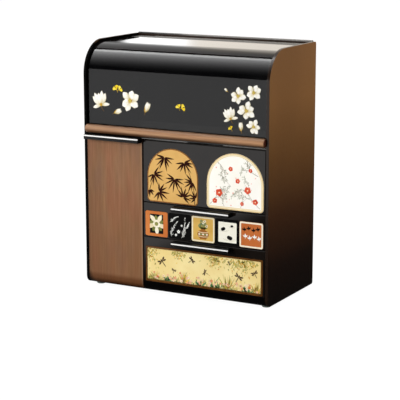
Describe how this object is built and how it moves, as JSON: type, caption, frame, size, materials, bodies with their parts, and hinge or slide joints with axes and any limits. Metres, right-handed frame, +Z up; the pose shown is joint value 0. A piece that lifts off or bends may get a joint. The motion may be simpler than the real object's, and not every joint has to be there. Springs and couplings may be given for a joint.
{
  "type": "cosmetic storage box",
  "caption": "Upright vanity box with a round-topped lacquered case, a flip-up smoked lid over a top compartment, a tall pull-out unit and drawers with inlaid fronts.",
  "frame": {"origin": "middle of the box that bounds the closed object, on the surface it stands on", "axes": "+Z up, the fronts face -Y, +X to the right of a person facing the fronts"},
  "size_m": [0.35, 0.1934, 0.4275],
  "materials": {
    "brown_lacquer": "dark brown gloss lacquer on board",
    "dark_top": "glossy near-black brown",
    "inner_board": "black laminated board",
    "runner": "pale low-friction plastic",
    "foot_rubber": "matt grey-green rubber",
    "stop_rubber": "matt black rubber",
    "steel": "plain steel",
    "nylon": "white nylon",
    "smoked_lid": "smoked see-through sheet, glossy",
    "light_wood": "satin reddish light wood",
    "walnut": "satin brown wood with upright grain",
    "tray_black": "matt black",
    "black_gloss": "black high gloss",
    "bright_strip": "polished bright metal",
    "print_gold": "printed gold inlay under gloss",
    "print_cream": "printed cream inlay under gloss",
    "print_orange": "printed orange inlay under gloss",
    "print_black": "printed black inlay under gloss",
    "frame_brown": "printed brown border under gloss"
  },
  "bodies": {
    "case": {"left_side_panel": "brown_lacquer", "right_side_panel": "brown_lacquer", "back_panel": "brown_lacquer", "top_panel": "dark_top", "deck": "inner_board", "bottom_board": "inner_board", "partition": "inner_board", "upper_divider": "inner_board", "lower_divider": "inner_board", "tall_runners": "runner", "lower_runners": "runner", "rubber_feet": "foot_rubber", "back_screws": "steel", "lid_hinge_pins": "steel", "lid_hinge_washers": "nylon", "lid_stops": "stop_rubber"},
    "lid": {"lid_shell": "smoked_lid", "lid_handle_bar": "light_wood", "lid_handle_screws": "steel"},
    "tall_unit": {"tall_front": "walnut", "tall_base_tray": "tray_black", "tall_shelf_tray": "tray_black", "tall_back_plate": "tray_black", "tall_screws": "steel", "tall_pull": "black_gloss", "tall_pull_strip": "bright_strip"},
    "upper_drawer": {"upper_front": "black_gloss", "upper_tray": "tray_black", "upper_screws": "steel", "left_arch_inlay": "print_gold", "right_arch_inlay": "print_cream"},
    "middle_drawer": {"middle_front": "black_gloss", "middle_tray": "tray_black", "middle_screws": "steel", "middle_pull": "black_gloss", "middle_pull_strip": "bright_strip", "tile_1": "print_orange", "tile_2": "print_black", "tile_3": "print_gold", "tile_4": "print_cream", "tile_5": "print_orange"},
    "lower_drawer": {"lower_front": "black_gloss", "lower_tray": "tray_black", "lower_screws": "steel", "lower_pull": "black_gloss", "lower_pull_strip": "bright_strip", "picture_frame": "frame_brown", "picture_inlay": "print_gold"}
  },
  "joints": [
    {"name": "lid_hinge", "type": "hinge", "parent": "case", "child": "lid", "pos_m": [0, -0.05599, 0.40736], "axis": [-1, 0, 0], "range_deg": [0, 95]},
    {"name": "tall_unit_slide", "type": "slide", "parent": "case", "child": "tall_unit", "axis": [0, -1, 0], "range_m": [0, 0.11]},
    {"name": "upper_drawer_slide", "type": "slide", "parent": "case", "child": "upper_drawer", "axis": [0, -1, 0], "range_m": [0, 0.11]},
    {"name": "middle_drawer_slide", "type": "slide", "parent": "case", "child": "middle_drawer", "axis": [0, -1, 0], "range_m": [0, 0.11]},
    {"name": "lower_drawer_slide", "type": "slide", "parent": "case", "child": "lower_drawer", "axis": [0, -1, 0], "range_m": [0, 0.11]}
  ]
}
